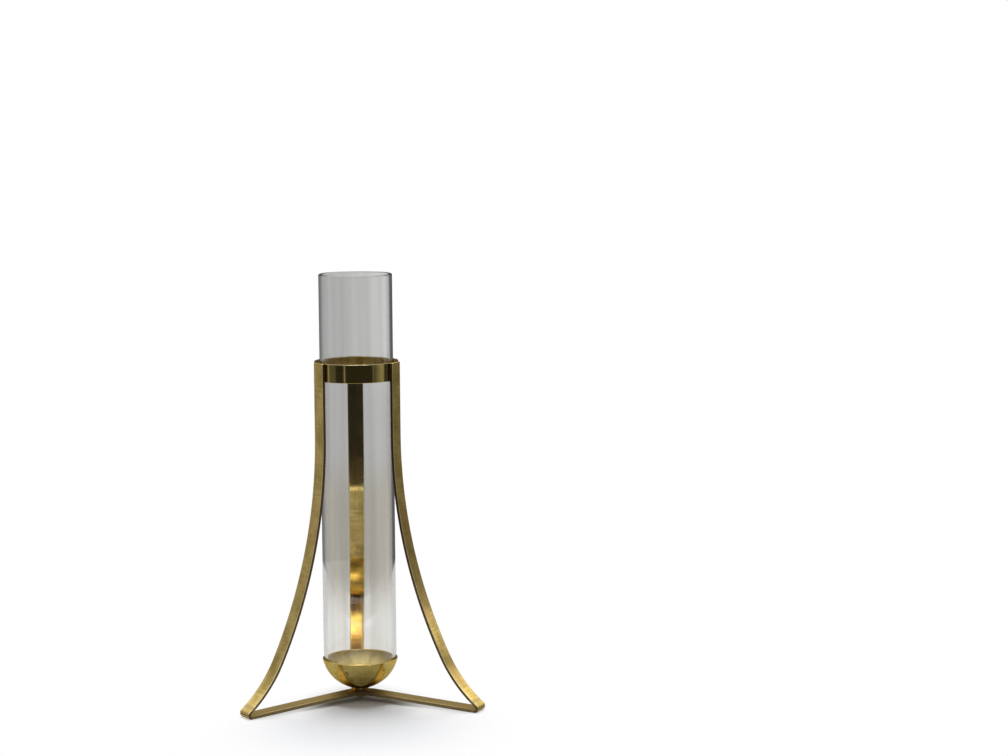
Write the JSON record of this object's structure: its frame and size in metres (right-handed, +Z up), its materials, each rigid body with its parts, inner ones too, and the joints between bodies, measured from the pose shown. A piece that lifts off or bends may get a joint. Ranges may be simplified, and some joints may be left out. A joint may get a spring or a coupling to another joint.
{
  "type": "glass tube vase in a tripod stand",
  "caption": "Clear round-bottomed glass tube held upright by a ring and a cup in a splayed three-legged brass strap stand, for cut flowers.",
  "frame": {"origin": "point on the standing surface under the glass tube's axis", "axes": "+Z up along the tube, +Y along the back leg, +X to the right as seen from the front"},
  "size_m": [0.172, 0.1491, 0.306],
  "materials": {
    "clear_glass": "clear drawn borosilicate with a melted rim",
    "polished_brass": "bright buffed, lightly toned",
    "satin_brass": "fine satin brushing along the strap",
    "spun_brass": "spun and buffed"
  },
  "bodies": {
    "stand": {"collar_ring": "polished_brass", "leg_back": "satin_brass", "leg_left": "satin_brass", "leg_right": "satin_brass", "base_bar_back": "satin_brass", "base_bar_left": "satin_brass", "base_bar_right": "satin_brass", "cup": "spun_brass", "cup_spacer": "spun_brass", "cup_stud": "spun_brass", "cup_nut": "spun_brass"},
    "tube": {"glass_tube": "clear_glass"}
  },
  "joints": [
    {"name": "tube_lift", "type": "slide", "parent": "stand", "child": "tube", "axis": [0, 0, 1], "range_m": [0, 0.24]}
  ]
}
